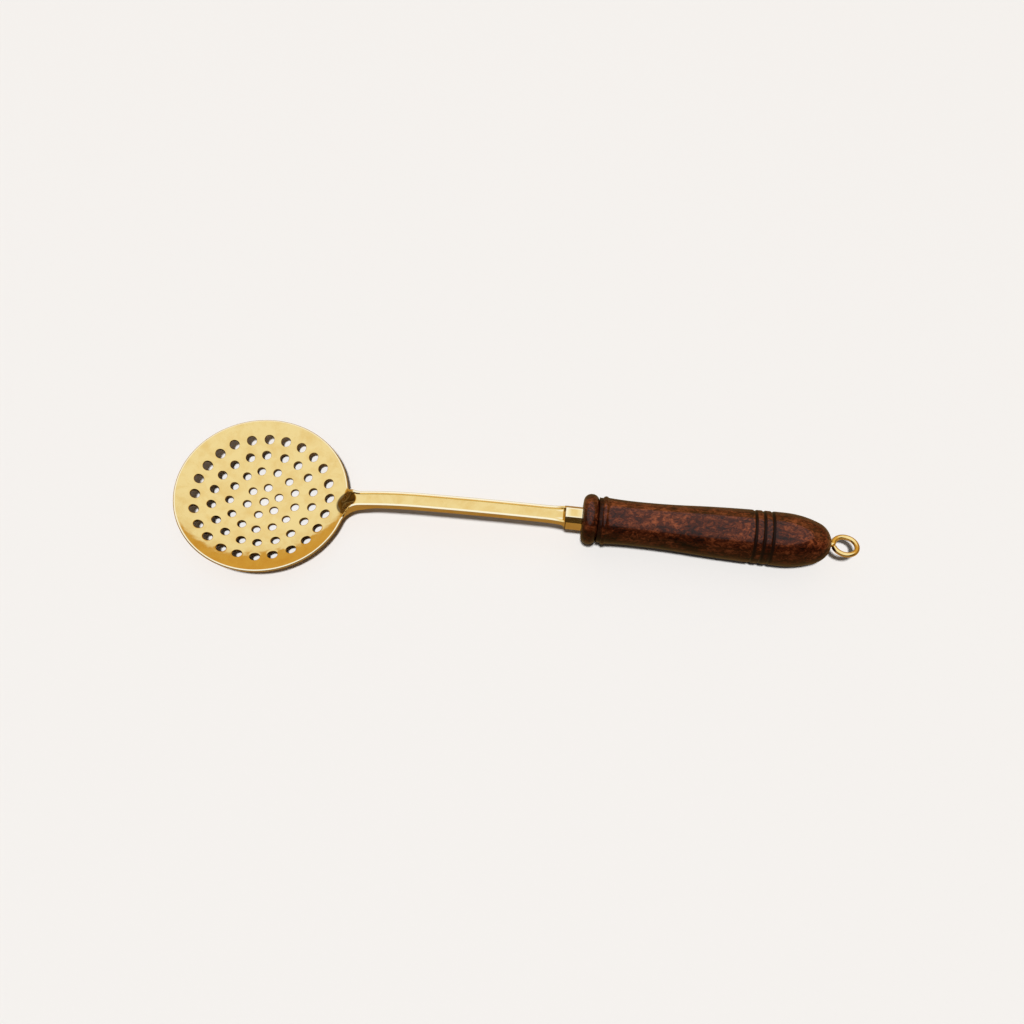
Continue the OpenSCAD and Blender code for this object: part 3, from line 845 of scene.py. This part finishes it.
def wood_material():
    """Dark figured wood under varnish, burnt in its lines, with painted shade in its quirk and on its sides
    and underside, and painted light on its glossier top.
    """
    material = new_material("varnished_wood", 0, 0.35, (0.14, 0.04, 0.02))
    tree = material.node_tree
    shader = tree.nodes["Principled BSDF"].inputs
    shader["Coat Roughness"].default_value = 0.02
    shader["Specular IOR Level"].default_value = 0.1
    place = object_place(tree)
    burn_and_quirk_shade, painted_top_light = attribute(tree, "burn_and_quirk_shade"), attribute(tree, "painted_top_light")

    def along_grain(scale):
        """Coordinates in which a texture is drawn out along the handle."""
        return add_node(tree, "Mapping", {"Vector": place, "Scale": (scale, 1, 1)}).outputs["Vector"]

    clouds = noise(tree, along_grain(0.6), 90, 4, 0.6, 1.2)
    flecks = noise(tree, along_grain(0.7), 560, 5, 0.7, 1)
    mottle = add_node(tree, "Mix", {"Factor": 0.6, "A": clouds, "B": flecks}).outputs["Result"]
    pores = map_range(tree, noise(tree, along_grain(0.12), 420, 3, 0.6, 0.3), 0.56, 0.68, 1, 0.45)
    # Painted shade on the sides and underside, painted light on the top
    pores_and_painted_shade = math_node(tree, "MULTIPLY", pores, map_range(tree, painted_top_light, 0, 1, 0.5, 1.1))
    grain = mix_colour(tree, 1, colour_ramp(tree, mottle, WOOD_FIGURE), pores_and_painted_shade, "MULTIPLY")
    tree.links.new(mix_colour(tree, burn_and_quirk_shade, grain, BURNT_AND_QUIRK_SHADE), shader["Base Color"])

    varnish = map_range(tree, burn_and_quirk_shade, 0, 1, 0.4, 0)
    gloss = math_node(tree, "MULTIPLY", varnish, map_range(tree, painted_top_light, 0, 1, 0.3, 1))
    tree.links.new(gloss, shader["Coat Weight"])
    swells = {"Distance": 0.00005, "Strength": 0.25, "Height": noise(tree, place, 160, 3, 0.5)}
    bump = add_node(tree, "Bump", swells).outputs["Normal"]
    tree.links.new(bump, shader["Normal"])
    tree.links.new(bump, shader["Coat Normal"])
    return material


# The room

def add_floor():
    """A plain pale floor. The metal and the wood show it darker and warmer, like the photograph's."""
    bpy.ops.mesh.primitive_plane_add(size=6)
    floor = bpy.context.object
    floor.name = "floor"
    material = new_material("pale_floor", 0, 0.6, FLOOR)
    tree = material.node_tree
    to_camera = add_node(tree, "LightPath").outputs["Is Camera Ray"]
    # Painted shade on the floor that reflections and bounced light meet
    ground = mix_colour(tree, to_camera, FLOOR_IN_METAL_PAINTED_SHADE, FLOOR)
    tree.links.new(ground, tree.nodes["Principled BSDF"].inputs["Base Color"])
    floor.data.materials.append(material)


def add_world():
    """A white tent above a warm band, darker and lower on the camera's side.

    It shows in full in glossy surfaces, lights the others less, and is plain and pale to the camera.
    """
    world = bpy.data.worlds.new("studio")
    bpy.context.scene.world = world
    world.use_nodes = True
    tree = world.node_tree
    way = add_node(tree, "TexCoord").outputs["Generated"]
    x, y, z = add_node(tree, "SeparateXYZ", {0: way}).outputs
    height = math_node(tree, "ADD", z, map_range(tree, x, 0, 1, 0, ROOM_LEAN))
    back, front = colour_ramp(tree, height, ROOM_BACK), colour_ramp(tree, height, ROOM_FRONT)
    room = mix_colour(tree, map_range(tree, y, -0.25, 0.1), front, back)
    path = add_node(tree, "LightPath").outputs
    seen = mix_colour(tree, path["Is Camera Ray"], room, BACKDROP)
    background = tree.nodes["Background"].inputs
    tree.links.new(seen, background["Color"])
    tree.links.new(map_range(tree, path["Is Glossy Ray"], 0, 1, ROOM_LEVEL, 1), background["Strength"])


def add_key():
    """A soft sun from the camera's side and a little left of it, which shines through the holes."""
    key = bpy.data.objects.new("key", bpy.data.lights.new("key", "SUN"))
    key.data.angle = KEY_ANGLE
    key.data.energy = KEY_STRENGTH
    turn = KEY_AT.to_track_quat("Z", "Y").to_matrix().to_4x4()
    key.matrix_world = Matrix.Translation(KEY_AT) @ turn
    key.visible_glossy = False
    bpy.context.scene.collection.objects.link(key)


add_camera()
add_floor()
add_world()
add_key()

polish = metal_group()
add_casting(metal("cast_brass", polish, BRASS, DEEP_BRASS, 1))
add_eye(metal("brass_wire", polish, WIRE_BRASS, DEEP_WIRE_BRASS, 0.6))
add_handle(wood_material())
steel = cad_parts["tang_stud"].data.materials
steel.clear()
steel.append(new_material("plain_steel", 1, 0.35, STEEL))

bpy.context.scene.view_settings.view_transform = "Standard"
